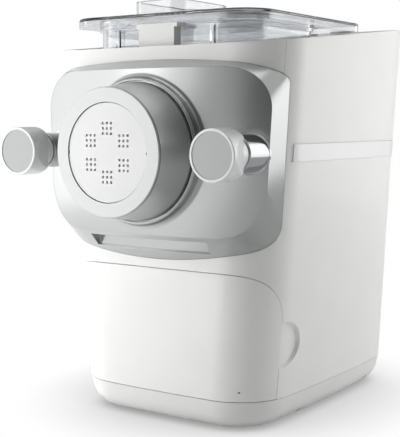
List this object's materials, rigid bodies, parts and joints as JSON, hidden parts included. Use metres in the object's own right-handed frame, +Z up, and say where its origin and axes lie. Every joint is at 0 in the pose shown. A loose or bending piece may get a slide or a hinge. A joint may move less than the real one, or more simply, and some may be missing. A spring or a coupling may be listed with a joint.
{
  "type": "electric pasta maker",
  "caption": "Upright electric pasta maker with a clear lidded mixing chamber, front extrusion nut held by two side knobs, and a pull-out drawer.",
  "frame": {"origin": "on the surface the machine stands on, below the middle of its overall box", "axes": "+Z up, -Y the front where pasta comes out, +X the machine's right-hand side seen from the front"},
  "size_m": [0.249, 0.332, 0.3546],
  "materials": {
    "body_white": "gloss moulded",
    "drawer_white": "gloss moulded",
    "base_white": "gloss moulded",
    "silver_panel": "satin silver",
    "silver_trim": "satin silver",
    "nut_silver": "satin silver",
    "disc_white": "satin moulded",
    "knob_silver": "satin silver",
    "knob_face": "brushed",
    "chrome_collar": "polished",
    "clear_plastic": "clear moulded",
    "lid_clear": "clear moulded",
    "white_plastic": "moulded",
    "inner_grey": "moulded",
    "black_glass": "smoked window",
    "button_grey": "moulded",
    "rubber_black": "matt",
    "seal_rubber": "matt",
    "steel": "zinc plated",
    "gear_plastic": "acetal",
    "motor_metal": "grey",
    "bronze": "sintered",
    "board_green": "printed board"
  },
  "bodies": {
    "main_unit": {"body_shell": "body_white", "front_cover": "body_white", "base_tray": "base_white", "rubber_feet": "rubber_black", "side_strip_left": "silver_trim", "side_strip_right": "silver_trim", "top_frame": "body_white", "control_deck": "body_white", "display_window": "black_glass", "bulkhead": "inner_grey", "chamber_floor": "inner_grey", "mixing_chamber": "clear_plastic", "shaft_seal": "seal_rubber", "gearbox_cover": "motor_metal", "gearbox_case": "motor_metal", "shaft_bearings": "bronze", "idler_pin": "steel", "motor": "motor_metal", "locking_studs": "steel", "control_board": "board_green", "power_board": "board_green", "cord_inlet": "rubber_black", "lid_interlock": "white_plastic", "lid_switch": "button_grey", "base_screws": "steel", "gearbox_screws": "steel"},
    "front_panel": {"bezel": "silver_panel", "panel_back": "inner_grey", "extrusion_tube": "white_plastic", "shaping_disc": "disc_white", "knob_collar_left": "chrome_collar", "knob_collar_right": "chrome_collar", "outlet_seal": "seal_rubber", "panel_screws": "steel"},
    "left_knob": {"knob_left": "knob_silver", "knob_cap_left": "knob_face", "knob_clip_left": "steel"},
    "right_knob": {"knob_right": "knob_silver", "knob_cap_right": "knob_face", "knob_clip_right": "steel"},
    "nut": {"disc_nut": "nut_silver"},
    "drive": {"auger": "white_plastic", "paddle": "white_plastic", "drive_shaft": "steel", "output_gear": "gear_plastic"},
    "countershaft": {"compound_gear": "gear_plastic"},
    "rotor": {"motor_pinion": "steel"},
    "lid_body": {"lid": "lid_clear"},
    "drawer": {"drawer_front": "drawer_white", "drawer_tray": "white_plastic"},
    "power_key": {"power_button": "button_grey"},
    "start_key": {"start_button": "button_grey"},
    "program_dial": {"dial": "knob_silver"}
  },
  "joints": [
    {"name": "front_panel_slide", "type": "slide", "parent": "main_unit", "child": "front_panel", "axis": [0, -1, 0], "range_m": [0, 0.08]},
    {"name": "left_knob_turn", "type": "hinge", "parent": "front_panel", "child": "left_knob", "pos_m": [-0.0974, -0.15, 0.2307], "axis": [0, -1, 0], "range_deg": [0, 90]},
    {"name": "right_knob_turn", "type": "hinge", "parent": "front_panel", "child": "right_knob", "pos_m": [0.0974, -0.15, 0.2307], "axis": [0, -1, 0], "range_deg": [0, 90]},
    {"name": "nut_turn", "type": "hinge", "parent": "front_panel", "child": "nut", "pos_m": [0, -0.15, 0.231], "axis": [0, -1, 0], "range_deg": [0, 60]},
    {"name": "drive_spin", "type": "hinge", "parent": "main_unit", "child": "drive", "pos_m": [0, 0, 0.231], "axis": [0, -1, 0], "continuous": true},
    {"name": "countershaft_spin", "type": "hinge", "parent": "main_unit", "child": "countershaft", "pos_m": [0.02955, 0.046, 0.15666], "axis": [0, -1, 0], "continuous": true},
    {"name": "rotor_spin", "type": "hinge", "parent": "main_unit", "child": "rotor", "pos_m": [0, 0.054, 0.091], "axis": [0, -1, 0], "continuous": true},
    {"name": "lid_lift", "type": "slide", "parent": "main_unit", "child": "lid_body", "axis": [0, 0, 1], "range_m": [0, 0.06]},
    {"name": "drawer_slide", "type": "slide", "parent": "main_unit", "child": "drawer", "axis": [0, -1, 0], "range_m": [0, 0.112]},
    {"name": "power_press", "type": "slide", "parent": "main_unit", "child": "power_key", "axis": [0, 0.1028, -0.9947], "range_m": [0, 0.0012], "stiffness_N_per_m": 600, "springref_m": -0.0005},
    {"name": "start_press", "type": "slide", "parent": "main_unit", "child": "start_key", "axis": [0, 0.1028, -0.9947], "range_m": [0, 0.0012], "stiffness_N_per_m": 600, "springref_m": -0.0005},
    {"name": "dial_turn", "type": "hinge", "parent": "main_unit", "child": "program_dial", "pos_m": [0.064, 0.11199, 0.33796], "axis": [0, -0.1028, 0.9947], "continuous": true}
  ],
  "couplings": [
    {"joint": "countershaft_spin", "follows": "drive_spin", "ratio": -3},
    {"joint": "rotor_spin", "follows": "drive_spin", "ratio": 10.5}
  ]
}
